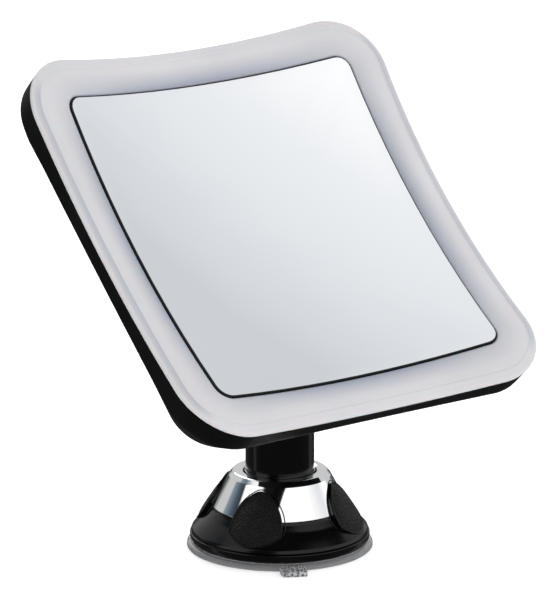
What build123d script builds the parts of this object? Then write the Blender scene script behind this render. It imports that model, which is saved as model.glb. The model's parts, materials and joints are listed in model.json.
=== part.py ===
"""Square concave make-up mirror with a lit frame, on a ball joint and a twist-lock suction base.

Millimetres. +Z is up and the head faces -Y. The origin is the centre of the suction disc's
underside, on the surface that the mirror stands on. Bearings in the base are counted from -Y
towards +X.
"""

from build123d import *
from math import cos, radians, sin
import os

os.makedirs("parts", exist_ok=True)

# ---- Driving dimensions -------------------------------------------------------------------
# Suction base
disc_radius = 39.0
disc_thickness = 2.4
membrane_thickness = 1.2
disc_edge_height = 1.2
disc_edge_slope = 2.2
membrane_margin = 1.0
tab_bearing = -30.7
tab_width = 11.0
tab_reach = 46.5
tab_thickness = 2.1
tab_lift = 0.1
tab_root = 3.0
tab_corner = 2.5
tab_rib_width = 0.6
tab_rib_height = 0.35
tab_rib_pitch = 1.3
tab_rib_count = 5
foot_radius = 37.7
foot_top = 6.4
hub_top = 8.0
hub_pocket_top = 5.9
post_groove_depth = 0.9
post_radius = 9.97
post_bore = 5.0
post_top = 44.0
snap_ring_bottom = 40.4
snap_ring_thickness = 1.0
snap_ring_radius = 11.57
snap_ring_gap = 3.2
running_gap = 0.04
parting_gap = 0.3

# Twist knob: cone of chrome over a flared skirt, four grips
skirt_radius = 37.3
skirt_bottom = foot_top + parting_gap
chrome_bottom = 17.7
chrome_foot_radius = 28.4
chrome_shoulder_radius = 21.3
chrome_shoulder = 30.9
chrome_top = 33.0
chrome_wall = 1.4
chrome_shoulder_inset = 1.1
chrome_shoulder_fillet = 1.6
chrome_hole = 15.4
knob_plate_top = 31.0
knob_plate_bottom = 29.0
skirt_wall = 2.1
grip_count = 4
grip_bearing = 32.0
grip_half_width = 11.8
grip_bottom = 8.8
grip_top = 29.6
knob_travel = 90.0
knob_screw_circle = 15.2
knob_screw_radius = 1.1
knob_screw_head_radius = 1.9
knob_screw_head_depth = 1.0
knob_screw_reach = 5.0
grip_widest_height = 13.4
grip_side_point = (9.2, 22.4)
grip_tip_half_width = 3.2
grip_tip_start = 28.4
grip_inside_radius = 18.0
grip_low_edge = (36.9, 8.0)
grip_high_edge = (22.3, 30.8)

# Lifter that pulls the middle of the disc up
lift_travel = 2.0
lift_flange_radius = 11.0
lift_flange_thickness = 1.8
lift_flange_bottom = membrane_thickness + 0.3
lift_stem_top = 24.0
pin_radius = 1.5
pin_height = 16.0
pin_half_length = 13.0
cam_inner_radius = 10.3
cam_outer_radius = 13.4
cam_wall_radius = 17.0
cam_bottom = hub_top + 0.4

# Neck and ball joint
neck_radius = 14.4
neck_bottom = knob_plate_top + parting_gap
neck_bore = 12.2
neck_bead = 0.5
spring_floor_bottom = 54.9
spring_floor_top = 56.9
spring_floor_hole = 8.0
cup_bottom = 71.9
cap_bottom = 78.9
ball_height = 87.9
ball_radius = 10.0
socket_gap = 0.03
stud_radius = 4.0
slot_half_width = 4.35

# Head: in its own plane, +Z out of the glass
head_lean = 44.5
ball_behind_head = 36.0
ball_below_head = 34.5
corner_centre = 66.6
corner_radius = 25.5
side_reach = 90.7
front_dish_radius = 454.5
front_dish_depth = 9.3
diffuser_thickness = 2.2
glass_half = 73.3
glass_corner = 6.0
glass_dish_radius = 400.0
glass_dish_depth = 9.03
glass_thickness = 2.5
gasket_width = 0.7
gasket_setback = 0.6
carrier_half = 75.6
carrier_wall = 1.4
carrier_thickness = 1.5
side_wall_depth = 10.7
back_depth = 20.0
back_inset = 10.0
shell_wall = 2.0
rim_stock = 12.0
boss_radius = 9.0
boss_height = 0.6
board_top = 8.4
board_thickness = 1.2
led_size = 3.0
led_height = 0.9
leds_per_side = 10
led_pitch = 13.5
led_line = 81.6
board_screw_place = 70.0
board_screw_radius = 1.25
board_screw_head_radius = 2.3
board_screw_length = 6.8
board_boss_radius = 3.6

# Battery box on the upper half of the back
box_centre = 31.0
box_width = 54.0
box_height = 58.0
box_depth = 28.0
box_wall = 1.8
box_corner = 5.0
box_taper = 6
box_inside_margin = 2.2
door_width = 44.6
door_height = 49.6
door_corner = 2.0
groove_length = 16.0
groove_width = 1.0
groove_depth = 0.6
groove_pitch = 2.2
groove_count = 4
cell_radius = 5.25
cell_length = 44.5
cell_pitch = 11.4

# Slide switch beside the battery box
switch_x = 43.0
switch_travel = 4.0
switch_slot_height = 9.4
switch_slot_width = 5.0
switch_body_size = (8.5, 14.0, 4.5)

# ---- Frames -------------------------------------------------------------------------------
lean = radians(head_lean)
normal = Vector(0, -cos(lean), sin(lean))
rise = Vector(0, sin(lean), cos(lean))
ball_centre = Vector(0, 0, ball_height)
head_centre = ball_centre + normal * ball_behind_head + rise * ball_below_head
face = Plane(origin=head_centre, x_dir=(1, 0, 0), z_dir=normal)
stud_plane = Plane(origin=ball_centre, x_dir=(1, 0, 0), z_dir=normal)
stud_spot = (0, -ball_below_head)


def bearing_plane(bearing, height=0):
    """Plane on the axis whose normal points outwards along a bearing, with +Z as its y."""
    turn = radians(bearing)
    outwards = (sin(turn), -cos(turn), 0)
    return Plane(origin=(0, 0, height), x_dir=(cos(turn), sin(turn), 0), z_dir=outwards)


def save(part, label):
    """Label a finished piece and write it."""
    part.label = label
    export_step(part, f"parts/{label}.step")


def bowed_square(centre, radius, reach):
    """Rounded square whose sides bow slightly inwards to `reach` at their middles."""
    diagonal = centre + radius * cos(radians(45))
    with BuildSketch() as outline:
        with BuildLine():
            side = ThreePointArc((-centre, centre + radius), (0, reach), (centre, centre + radius))
            corner = ThreePointArc(side @ 1, (diagonal, diagonal), (centre + radius, centre))
            for quarter in (90, 180, 270):
                add(side.rotate(Axis.Z, -quarter))
                add(corner.rotate(Axis.Z, -quarter))
        make_face()
    return outline.sketch


def rounded_square(half, corner):
    """Plain rounded square with straight sides."""
    with BuildSketch() as outline:
        RectangleRounded(2 * half, 2 * half, corner)
    return outline.sketch


front_sphere = (0, 0, front_dish_radius - front_dish_depth)
glass_sphere = (0, 0, glass_dish_radius - glass_dish_depth)
back_of_diffuser = front_dish_radius + diffuser_thickness
back_of_glass = glass_dish_radius + glass_thickness
back_of_carrier = back_of_glass + carrier_thickness

# ==== Suction base =========================================================================
# suction_disc: clear soft disc, flat underneath, thinner in the middle, with a release tab
with BuildPart() as suction_disc:
    with BuildSketch(Plane.XZ):
        with BuildLine():
            Polyline(
                (0, 0),
                (disc_radius, 0),
                (disc_radius, disc_edge_height),
                (disc_radius - disc_edge_slope, disc_thickness),
                (lift_flange_radius + membrane_margin, disc_thickness),
                (lift_flange_radius + membrane_margin, membrane_thickness),
                (0, membrane_thickness),
                close=True,
            )
        make_face()
    revolve(axis=Axis.Z)
    tab = bearing_plane(tab_bearing)
    tab_start = disc_radius - tab_root
    with BuildSketch(Plane(origin=(0, 0, tab_lift), x_dir=tab.x_dir, z_dir=(0, 0, 1))):
        with Locations((0, -(tab_reach + tab_start) / 2)):
            RectangleRounded(tab_width, tab_reach - tab_start, tab_corner)
    extrude(amount=tab_thickness - tab_lift)
    with BuildSketch(Plane(origin=(0, 0, tab_thickness), x_dir=tab.x_dir, z_dir=(0, 0, 1))):
        with Locations((0, -disc_radius - 4)):
            with GridLocations(0, tab_rib_pitch, 1, tab_rib_count):
                SlotOverall(tab_width - 3, tab_rib_width)
    extrude(amount=tab_rib_height)
save(suction_disc.part, "suction_disc")

# base_foot: ring that presses the disc's edge, with the hollow post that carries everything
with BuildPart() as base_foot:
    with BuildSketch(Plane.XZ):
        with BuildLine():
            Polyline(
                (post_bore, hub_pocket_top),
                (lift_flange_radius + 0.6, hub_pocket_top),
                (lift_flange_radius + 0.6, disc_thickness),
                (foot_radius - 2.6, disc_thickness),
                (foot_radius - 0.5, 3.2),
                (foot_radius, 4.2),
                (foot_radius, 5.6),
                (foot_radius - 0.6, foot_top),
                (foot_radius - 3.2, foot_top),
                (foot_radius - 3.2, 4.8),
                (18.0, 4.8),
                (14.5, hub_top),
                (post_radius, hub_top),
                (post_radius, snap_ring_bottom),
                (post_radius - post_groove_depth, snap_ring_bottom),
                (post_radius - post_groove_depth, snap_ring_bottom + snap_ring_thickness),
                (post_radius, snap_ring_bottom + snap_ring_thickness),
                (post_radius, post_top - 1.0),
                (post_radius - 1.0, post_top),
                (post_bore, post_top),
                close=True,
            )
        make_face()
    revolve(axis=Axis.Z)
    # two upright slots let the cross pin rise
    with BuildSketch(Plane.YZ):
        with Locations((0, pin_height + lift_travel / 2)):
            SlotOverall(lift_travel + 2 * pin_radius + 0.8, 2 * pin_radius + 0.4, rotation=90)
    extrude(amount=post_radius + 1, both=True, mode=Mode.SUBTRACT)
save(base_foot.part, "base_foot")

# snap_ring: open ring in the post's groove that keeps the neck down
with BuildPart() as snap_ring:
    with BuildSketch(Plane.XY.offset(snap_ring_bottom)):
        Circle(snap_ring_radius)
        Circle(post_radius - post_groove_depth, mode=Mode.SUBTRACT)
        with Locations((0, -post_radius)):
            Rectangle(snap_ring_gap, 6, mode=Mode.SUBTRACT)
    extrude(amount=snap_ring_thickness)
save(snap_ring.part, "snap_ring")

# lift_stud: flange over the membrane and a stem up the post, cross-drilled for the pin
with BuildPart() as lift_stud:
    with BuildSketch(Plane.XY.offset(lift_flange_bottom)):
        Circle(lift_flange_radius)
    extrude(amount=lift_flange_thickness)
    flange_top = lift_flange_bottom + lift_flange_thickness
    with BuildSketch(Plane.XY.offset(flange_top)):
        Circle(post_bore - running_gap)
    extrude(amount=lift_stem_top - flange_top)
    fillet(lift_stud.edges().sort_by(Axis.Z)[-1], 0.8)
    with BuildSketch(Plane.YZ):
        with Locations((0, pin_height)):
            Circle(pin_radius)
    extrude(amount=10, both=True, mode=Mode.SUBTRACT)
save(lift_stud.part, "lift_stud")

# cross_pin: steel pin through the stud that rides on the knob's two ramps
with BuildPart() as cross_pin:
    with BuildSketch(Plane.YZ):
        with Locations((0, pin_height)):
            Circle(pin_radius)
    extrude(amount=pin_half_length, both=True)
    chamfer(cross_pin.edges().filter_by(GeomType.CIRCLE), 0.3)
save(cross_pin.part, "cross_pin")

# ==== Twist knob ===========================================================================
flare = [
    (skirt_radius, skirt_bottom),
    (36.7, 8.2),
    (34.0, 10.9),
    (30.7, 14.0),
    (28.7, 16.6),
    (28.2, chrome_bottom),
]
cone_inside_foot = (chrome_foot_radius - chrome_wall, chrome_bottom)
cone_inside_top = (chrome_shoulder_radius - chrome_wall, chrome_shoulder)

# knob_skirt: thin flared shell with a flat top plate that turns above the foot ring
with BuildPart() as knob_skirt:
    with BuildSketch(Plane.XZ):
        with BuildLine():
            Polyline(
                *flare,
                cone_inside_foot,
                cone_inside_top,
                (cone_inside_top[0], knob_plate_top),
                (cam_inner_radius, knob_plate_top),
                (cam_inner_radius, knob_plate_bottom),
                (cone_inside_top[0] - skirt_wall, knob_plate_bottom),
                (cone_inside_foot[0] - skirt_wall, chrome_bottom - 1.2),
                (31.4, 11.0),
                (34.9, skirt_bottom),
                close=True,
            )
        make_face()
    revolve(axis=Axis.Z)
    with BuildSketch(Plane.XY.offset(knob_plate_top)):
        with PolarLocations(knob_screw_circle, 3):
            Circle(knob_screw_head_radius)
    extrude(amount=-knob_screw_head_depth, mode=Mode.SUBTRACT)
    with BuildSketch(Plane.XY.offset(knob_plate_top)):
        with PolarLocations(knob_screw_circle, 3):
            Circle(knob_screw_radius)
    extrude(amount=knob_plate_bottom - knob_plate_top, mode=Mode.SUBTRACT)
save(knob_skirt.part, "knob_skirt")

# cam_sleeve: runs on the post; its two ramps raise the pin as the knob turns clockwise
ramp_bearing = radians(knob_travel / 2)
ramp_slope = lift_travel / 2 / sin(radians(45)) / ((cam_inner_radius + cam_outer_radius) / 2)
ramp_middle = pin_height - pin_radius - 0.35 + lift_travel / 2
ramp_stock_top = pin_height + 2.0
sleeve_step = pin_height + lift_travel + pin_radius + 0.7
with BuildPart() as cam_sleeve:
    with BuildSketch(Plane.XY.offset(cam_bottom)):
        Circle(cam_outer_radius)
        Circle(cam_inner_radius, mode=Mode.SUBTRACT)
    extrude(amount=ramp_stock_top - cam_bottom)
    for side in (0, 180):
        turn = ramp_bearing + radians(side)
        ramp = Plane(
            origin=(0, 0, ramp_middle),
            x_dir=(cos(turn), sin(turn), 0),
            z_dir=(ramp_slope * sin(turn), -ramp_slope * cos(turn), 1),
        )
        with BuildSketch(ramp):
            with Locations((10, 0)):
                Rectangle(20, 40)
        extrude(amount=10, mode=Mode.SUBTRACT)
    with BuildSketch(Plane.XZ):
        with BuildLine():
            Polyline(
                (cam_outer_radius, cam_bottom),
                (cam_wall_radius, cam_bottom),
                (cam_wall_radius, knob_plate_bottom),
                (post_radius + running_gap, knob_plate_bottom),
                (post_radius + running_gap, sleeve_step),
                (cam_outer_radius, sleeve_step),
                close=True,
            )
        make_face()
    revolve(axis=Axis.Z)
    with BuildSketch(Plane.XY.offset(knob_plate_bottom)):
        with PolarLocations(knob_screw_circle, 3):
            Circle(knob_screw_radius)
    extrude(amount=-knob_screw_reach, mode=Mode.SUBTRACT)
save(cam_sleeve.part, "cam_sleeve")

# knob_screws: three screws that hold the skirt on the cam sleeve
with BuildPart() as knob_screws:
    head_seat = knob_plate_top - knob_screw_head_depth
    with BuildSketch(Plane.XY.offset(head_seat)):
        with PolarLocations(knob_screw_circle, 3):
            Circle(knob_screw_head_radius)
    extrude(amount=knob_screw_head_depth - 0.1)
    with BuildSketch(Plane.XY.offset(head_seat)):
        with PolarLocations(knob_screw_circle, 3):
            Circle(knob_screw_radius)
    extrude(amount=knob_plate_bottom - head_seat - knob_screw_reach + 0.2)
save(knob_screws.part, "knob_screws")

# chrome_cap: cone with a rounded shoulder and a flat top round the neck
with BuildPart() as chrome_cap:
    with BuildSketch(Plane.XZ) as section:
        with BuildLine():
            Polyline(
                (chrome_foot_radius, chrome_bottom),
                (chrome_shoulder_radius, chrome_shoulder),
                (chrome_shoulder_radius - chrome_shoulder_inset, chrome_top),
                (chrome_hole, chrome_top),
                (chrome_hole, knob_plate_top),
                (cone_inside_top[0], knob_plate_top),
                cone_inside_top,
                cone_inside_foot,
                close=True,
            )
        make_face()
        fillet(section.vertices().sort_by(Axis.Y)[-2:].sort_by(Axis.X)[-1], chrome_shoulder_fillet)
    revolve(axis=Axis.Z)
save(chrome_cap.part, "chrome_cap")

# grips: four textured rubber pads bridging the flare of the skirt and the chrome cone
for number in range(grip_count):
    bearing = grip_bearing + number * 360 / grip_count
    with BuildPart() as grip:
        with BuildSketch(Plane.XZ):
            with BuildLine():
                Polyline(
                    (grip_inside_radius, grip_low_edge[1]),
                    grip_low_edge,
                    grip_high_edge,
                    (grip_inside_radius, grip_high_edge[1]),
                    close=True,
                )
            make_face()
        revolve(axis=Axis.Z)
        with BuildSketch(Plane.XZ):
            with BuildLine():
                Polyline(
                    (0, skirt_bottom),
                    *flare,
                    (chrome_foot_radius, chrome_bottom),
                    (chrome_shoulder_radius, chrome_shoulder),
                    (0, chrome_shoulder),
                    close=True,
                )
            make_face()
        revolve(axis=Axis.Z, mode=Mode.SUBTRACT)
        with BuildSketch(bearing_plane(bearing)):
            with BuildLine():
                base = ThreePointArc(
                    (-grip_half_width, grip_widest_height),
                    (0, grip_bottom),
                    (grip_half_width, grip_widest_height),
                )
                tip_start = (grip_tip_half_width, grip_tip_start)
                right = ThreePointArc(base @ 1, grip_side_point, tip_start)
                tip_end = (-grip_tip_half_width, grip_tip_start)
                tip = ThreePointArc(right @ 1, (0, grip_top), tip_end)
                left_point = (-grip_side_point[0], grip_side_point[1])
                ThreePointArc(tip @ 1, left_point, base @ 0)
            make_face()
        extrude(amount=60, mode=Mode.INTERSECT)
    save(grip.part, f"grip_{number + 1}")

# ==== Neck and ball joint ==================================================================
# neck_tube: glossy tube that swivels on the post, with a bead at its foot
with BuildPart() as neck_tube:
    with BuildSketch(Plane.XZ):
        with BuildLine():
            Polyline(
                (post_radius + running_gap, neck_bottom),
                (neck_radius + 0.1, neck_bottom),
                (neck_radius + neck_bead, neck_bottom + 0.5),
                (neck_radius + neck_bead, neck_bottom + 1.6),
                (neck_radius, neck_bottom + 2.2),
                (neck_radius, cap_bottom),
                (neck_bore, cap_bottom),
                (neck_bore, spring_floor_top),
                (spring_floor_hole, spring_floor_top),
                (spring_floor_hole, spring_floor_bottom),
                (neck_bore, spring_floor_bottom),
                (neck_bore, snap_ring_bottom - 0.4),
                (post_radius + running_gap, snap_ring_bottom - 0.4),
                close=True,
            )
        make_face()
    revolve(axis=Axis.Z)
save(neck_tube.part, "neck_tube")

# socket_cap: domed top of the neck, slotted from level with the ball to straight up
with BuildPart() as socket_cap:
    with BuildSketch(Plane.XZ):
        with BuildLine():
            dome = CenterArc((0, ball_height), neck_radius, 0, 90)
            Line(dome @ 0, (neck_radius, cap_bottom))
            Line((neck_radius, cap_bottom), (neck_bore, cap_bottom))
            Line((neck_bore, cap_bottom), (neck_bore, ball_height - 2))
            Line((neck_bore, ball_height - 2), (ball_radius + socket_gap, ball_height - 2))
            seat = CenterArc((0, ball_height), ball_radius + socket_gap, 0, 90)
            Line((ball_radius + socket_gap, ball_height - 2), seat @ 0)
            Line(seat @ 1, dome @ 1)
        make_face()
    revolve(axis=Axis.Z)
    with BuildSketch(Plane.XZ.offset(-slot_half_width)):
        with Locations((0, ball_height + 20 - slot_half_width)):
            RectangleRounded(2 * slot_half_width, 40, slot_half_width - 0.1)
    extrude(amount=slot_half_width + 20, mode=Mode.SUBTRACT)
save(socket_cap.part, "socket_cap")

# ball_cup: friction seat under the ball
cup_top_drop = 4.6
cup_top = ball_height - cup_top_drop
cup_hole = 5.0
seat_radius = ball_radius + socket_gap
seat_start = (cup_hole, ball_height - (seat_radius**2 - cup_hole**2) ** 0.5)
seat_middle = (seat_radius * sin(radians(45)), ball_height - seat_radius * cos(radians(45)))
seat_end = ((seat_radius**2 - cup_top_drop**2) ** 0.5, cup_top)
with BuildPart() as ball_cup:
    with BuildSketch(Plane.XZ):
        with BuildLine():
            Polyline(
                seat_start,
                (cup_hole, cup_bottom),
                (neck_bore - parting_gap, cup_bottom),
                (neck_bore - parting_gap, cup_top),
                seat_end,
            )
            ThreePointArc(seat_end, seat_middle, seat_start)
        make_face()
    revolve(axis=Axis.Z)
save(ball_cup.part, "ball_cup")

# ball_spring: pushes the cup up against the ball
spring_wire = 0.8
spring_radius = 9.9
with BuildPart() as ball_spring:
    with BuildLine(Plane.XY.offset(spring_floor_top + spring_wire)) as coil:
        length = cup_bottom - spring_floor_top - 2 * spring_wire
        Helix(pitch=3.35, height=length, radius=spring_radius)
    with BuildSketch(Plane(origin=coil.line @ 0, z_dir=coil.line % 0)):
        Circle(spring_wire - 0.02)
    sweep(is_frenet=True)
save(ball_spring.part, "ball_spring")

# ball_stud: ball, shank and thrust collar in one piece
collar_radius = 6.5
collar_bottom = ball_behind_head - 21.1
collar_thickness = 0.8
stud_top = ball_behind_head - 14.6
clip_bottom = ball_behind_head - 16.6
clip_thickness = 1.0
clip_groove = 0.8
with BuildPart() as ball_stud:
    with BuildSketch(stud_plane):
        Circle(stud_radius)
    extrude(amount=stud_top)
    with Locations(Location(ball_centre)):
        Sphere(ball_radius)
    with BuildSketch(stud_plane.offset(collar_bottom)):
        Circle(collar_radius)
    extrude(amount=collar_thickness)
    with BuildSketch(stud_plane.offset(clip_bottom)):
        Circle(stud_radius + 1)
        Circle(stud_radius - clip_groove, mode=Mode.SUBTRACT)
    extrude(amount=clip_thickness, mode=Mode.SUBTRACT)
save(ball_stud.part, "ball_stud")

# friction_washer and stud_clip: keep the head on the stud
washer_radius = 8.0
washer_thickness = 0.5
with BuildPart() as friction_washer:
    with BuildSketch(stud_plane.offset(clip_bottom - washer_thickness)):
        Circle(washer_radius)
        Circle(stud_radius, mode=Mode.SUBTRACT)
    extrude(amount=washer_thickness)
save(friction_washer.part, "friction_washer")

clip_radius = 6.8
clip_gap = 4.6
with BuildPart() as stud_clip:
    with BuildSketch(stud_plane.offset(clip_bottom)):
        Circle(clip_radius)
        Circle(stud_radius - clip_groove, mode=Mode.SUBTRACT)
        with Locations((0, -5)):
            Rectangle(clip_gap, 8, mode=Mode.SUBTRACT)
    extrude(amount=clip_thickness)
save(stud_clip.part, "stud_clip")

# ==== Head =================================================================================
# rear_housing: black pan, upright side wall, sloped edge, flat back with the battery box
with BuildPart() as rear_housing:
    with BuildSketch(face.offset(-side_wall_depth)):
        add(bowed_square(corner_centre, corner_radius, side_reach))
    extrude(amount=side_wall_depth + rim_stock)
    with BuildSketch(face.offset(-side_wall_depth)):
        add(bowed_square(corner_centre, corner_radius, side_reach))
    with BuildSketch(face.offset(-back_depth)):
        add(bowed_square(corner_centre, corner_radius - back_inset, side_reach - back_inset))
    loft()
    with BuildSketch(face.offset(-back_depth + 0.5)):
        with Locations((0, box_centre)):
            RectangleRounded(box_width, box_height, box_corner)
    extrude(amount=-(box_depth - back_depth + 0.5), taper=box_taper)
    # hollow inside
    with BuildSketch(face.offset(-side_wall_depth)):
        add(bowed_square(corner_centre, corner_radius - shell_wall, side_reach - shell_wall))
    extrude(amount=side_wall_depth + rim_stock, mode=Mode.SUBTRACT)
    inset = back_inset + shell_wall
    with BuildSketch(face.offset(-side_wall_depth)):
        add(bowed_square(corner_centre, corner_radius - shell_wall, side_reach - shell_wall))
    with BuildSketch(face.offset(-back_depth + shell_wall)):
        add(bowed_square(corner_centre, corner_radius - inset, side_reach - inset))
    loft(mode=Mode.SUBTRACT)
    with BuildSketch(face.offset(-back_depth + shell_wall)):
        with Locations((0, box_centre)):
            RectangleRounded(
                box_width - 2 * box_inside_margin, box_height - 2 * box_inside_margin, 3
            )
    extrude(amount=-(box_depth - box_wall - back_depth + shell_wall), mode=Mode.SUBTRACT)
    with BuildSketch(face.offset(-box_depth)):
        with Locations((0, box_centre)):
            RectangleRounded(
                door_width + 2 * parting_gap,
                door_height + 2 * parting_gap,
                door_corner + parting_gap,
            )
    extrude(amount=box_wall, mode=Mode.SUBTRACT)
    # boss and bore for the ball stud
    with BuildSketch(face.offset(-back_depth + shell_wall)):
        with Locations(stud_spot):
            Circle(boss_radius)
    extrude(amount=boss_height)
    with BuildSketch(face.offset(-back_depth)):
        with Locations(stud_spot):
            Circle(stud_radius + running_gap)
    extrude(amount=shell_wall + boss_height, mode=Mode.SUBTRACT)
    # slot for the switch
    with BuildSketch(face.offset(-back_depth)):
        with Locations((switch_x, box_centre)):
            RectangleRounded(switch_slot_width, switch_slot_height, 0.8)
    extrude(amount=shell_wall, mode=Mode.SUBTRACT)
    # four bosses for the board screws
    with BuildSketch(face.offset(-back_depth + shell_wall)):
        with GridLocations(2 * board_screw_place, 2 * board_screw_place, 2, 2):
            Circle(board_boss_radius)
    extrude(amount=back_depth - shell_wall - board_top - board_thickness)
    with BuildSketch(face.offset(-board_top - board_thickness)):
        with GridLocations(2 * board_screw_place, 2 * board_screw_place, 2, 2):
            Circle(board_screw_radius)
    extrude(amount=-6, mode=Mode.SUBTRACT)
    # the front rim follows the dish of the frame
    with Locations(face.location * Location(front_sphere)):
        Sphere(back_of_diffuser, mode=Mode.SUBTRACT)
save(rear_housing.part, "rear_housing")

# diffuser_frame: frosted lit frame, dished, with a square opening for the glass
opening_half = glass_half + gasket_width
with BuildPart() as diffuser_frame:
    with BuildSketch(face.offset(-back_depth)):
        add(bowed_square(corner_centre, corner_radius, side_reach))
        add(rounded_square(opening_half, glass_corner + gasket_width), mode=Mode.SUBTRACT)
    extrude(amount=2 * back_depth)
    with Locations(face.location * Location(front_sphere)):
        Sphere(back_of_diffuser, mode=Mode.INTERSECT)
        Sphere(front_dish_radius, mode=Mode.SUBTRACT)
save(diffuser_frame.part, "diffuser_frame")

# mirror_glass: concave square of silvered glass
with BuildPart() as mirror_glass:
    with BuildSketch(face.offset(-back_depth)):
        add(rounded_square(glass_half, glass_corner))
    extrude(amount=2 * back_depth)
    with Locations(face.location * Location(glass_sphere)):
        Sphere(back_of_glass, mode=Mode.INTERSECT)
        Sphere(glass_dish_radius, mode=Mode.SUBTRACT)
save(mirror_glass.part, "mirror_glass")

# mirror_gasket: thin black frame round the edge of the glass
with BuildPart() as mirror_gasket:
    with BuildSketch(face.offset(-back_depth)):
        add(rounded_square(opening_half, glass_corner + gasket_width))
        add(rounded_square(glass_half, glass_corner), mode=Mode.SUBTRACT)
    extrude(amount=2 * back_depth)
    with Locations(face.location * Location(glass_sphere)):
        Sphere(back_of_glass, mode=Mode.INTERSECT)
        Sphere(glass_dish_radius + gasket_setback, mode=Mode.SUBTRACT)
save(mirror_gasket.part, "mirror_gasket")

# mirror_carrier: dished white plate behind the glass, with a rim wall and four feet
foot_spread_x = 124.0
foot_spread_y = 110.0
carrier_foot_radius = 4.0
with BuildPart() as mirror_carrier:
    with BuildSketch(face.offset(-back_depth)):
        add(rounded_square(carrier_half, glass_corner + gasket_width + carrier_wall))
    extrude(amount=2 * back_depth)
    with Locations(face.location * Location(glass_sphere)):
        Sphere(back_of_carrier, mode=Mode.INTERSECT)
    with BuildSketch(face.offset(-back_depth + shell_wall)):
        with GridLocations(foot_spread_x, foot_spread_y, 2, 2):
            Circle(carrier_foot_radius)
    extrude(amount=back_depth - 2 * shell_wall)
    with Locations(face.location * Location(glass_sphere)):
        Sphere(back_of_glass, mode=Mode.SUBTRACT)
    with BuildSketch(face.offset(-board_top - 0.6)):
        add(rounded_square(carrier_half, glass_corner + gasket_width + carrier_wall))
        add(rounded_square(opening_half + 0.2, glass_corner + gasket_width), mode=Mode.SUBTRACT)
    extrude(amount=back_depth)
    with Locations(face.location * Location(front_sphere)):
        Sphere(back_of_diffuser, mode=Mode.SUBTRACT)
save(mirror_carrier.part, "mirror_carrier")

# led_board: flat white frame of circuit board under the diffuser
with BuildPart() as led_board:
    with BuildSketch(face.offset(-board_top)):
        add(bowed_square(corner_centre, corner_radius - 3.2, side_reach - 3.2))
        add(rounded_square(carrier_half + 0.4, 8.5), mode=Mode.SUBTRACT)
        with GridLocations(2 * board_screw_place, 2 * board_screw_place, 2, 2):
            Circle(1.5, mode=Mode.SUBTRACT)
    extrude(amount=-board_thickness)
save(led_board.part, "led_board")

# leds: a row of small square lamps along each side of the board
with BuildPart() as leds:
    with BuildSketch(face.offset(-board_top)):
        with GridLocations(led_pitch, 2 * led_line, leds_per_side, 2):
            Rectangle(led_size, led_size)
        with GridLocations(2 * led_line, led_pitch, 2, leds_per_side):
            Rectangle(led_size, led_size)
    extrude(amount=led_height)
save(leds.part, "leds")

# board_screws: four screws through the corners of the board
with BuildPart() as board_screws:
    with BuildSketch(face.offset(-board_top)):
        with GridLocations(2 * board_screw_place, 2 * board_screw_place, 2, 2):
            Circle(board_screw_head_radius)
    extrude(amount=1.0)
    with BuildSketch(face.offset(-board_top)):
        with GridLocations(2 * board_screw_place, 2 * board_screw_place, 2, 2):
            Circle(board_screw_radius)
    extrude(amount=-board_screw_length)
save(board_screws.part, "board_screws")

# battery_tray: open tray that stands in the battery box
tray_width = box_width - 5.0
tray_height = box_height - 5.0
tray_front = 13.4
tray_wall = 1.2
tray_gap = 0.4
with BuildPart() as battery_tray:
    with BuildSketch(face.offset(-tray_front)):
        with Locations((0, box_centre)):
            RectangleRounded(tray_width, tray_height, 2.5)
    extrude(amount=-(box_depth - box_wall - tray_front - tray_gap))
    with BuildSketch(face.offset(-tray_front - tray_wall)):
        with Locations((0, box_centre)):
            Rectangle(tray_width - 2 * tray_wall, tray_height - 2 * tray_wall)
    extrude(amount=-box_depth, mode=Mode.SUBTRACT)
save(battery_tray.part, "battery_tray")

# batteries: four AAA cells side by side
cell_depth = tray_front + tray_wall + cell_radius
cell_base = box_centre - cell_length / 2
nub_radius = 1.9
nub_height = 0.8
with BuildPart() as batteries:
    row = Plane(face.from_local_coords((0, cell_base, -cell_depth)), x_dir=(1, 0, 0), z_dir=rise)
    with BuildSketch(row):
        with GridLocations(cell_pitch, 0, 4, 1):
            Circle(cell_radius)
    extrude(amount=cell_length - nub_height)
    with BuildSketch(row.offset(cell_length - nub_height)):
        with GridLocations(cell_pitch, 0, 4, 1):
            Circle(nub_radius)
    extrude(amount=nub_height)
save(batteries.part, "batteries")

# battery_contacts: a leaf at each end of each cell
tray_inside = tray_height / 2 - tray_wall
leaf_gap = tray_inside - cell_length / 2
leaf_size = 8.0
leaf_thickness = 0.4
leaf_spring_radius = 1.8
with BuildPart() as battery_contacts:
    for end in (-1, 1):
        leaf = Plane(
            face.from_local_coords((0, box_centre + end * tray_inside, -cell_depth)),
            x_dir=(1, 0, 0),
            z_dir=rise * -end,
        )
        with BuildSketch(leaf):
            with GridLocations(cell_pitch, 0, 4, 1):
                Rectangle(leaf_size, leaf_size)
        extrude(amount=leaf_thickness)
        with BuildSketch(leaf.offset(leaf_thickness)):
            with GridLocations(cell_pitch, 0, 4, 1):
                Circle(leaf_spring_radius)
        extrude(amount=leaf_gap - leaf_thickness)
save(battery_contacts.part, "battery_contacts")

# battery_door: lid that lifts straight off the back
with BuildPart() as battery_door:
    with BuildSketch(face.offset(-box_depth + box_wall)):
        with Locations((0, box_centre)):
            RectangleRounded(door_width, door_height, door_corner)
    extrude(amount=-box_wall)
    with BuildSketch(face.offset(-box_depth)):
        with Locations((0, box_centre + door_height / 2 - 8)):
            with GridLocations(0, groove_pitch, 1, groove_count):
                SlotOverall(groove_length, groove_width)
    extrude(amount=groove_depth, mode=Mode.SUBTRACT)
save(battery_door.part, "battery_door")

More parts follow.
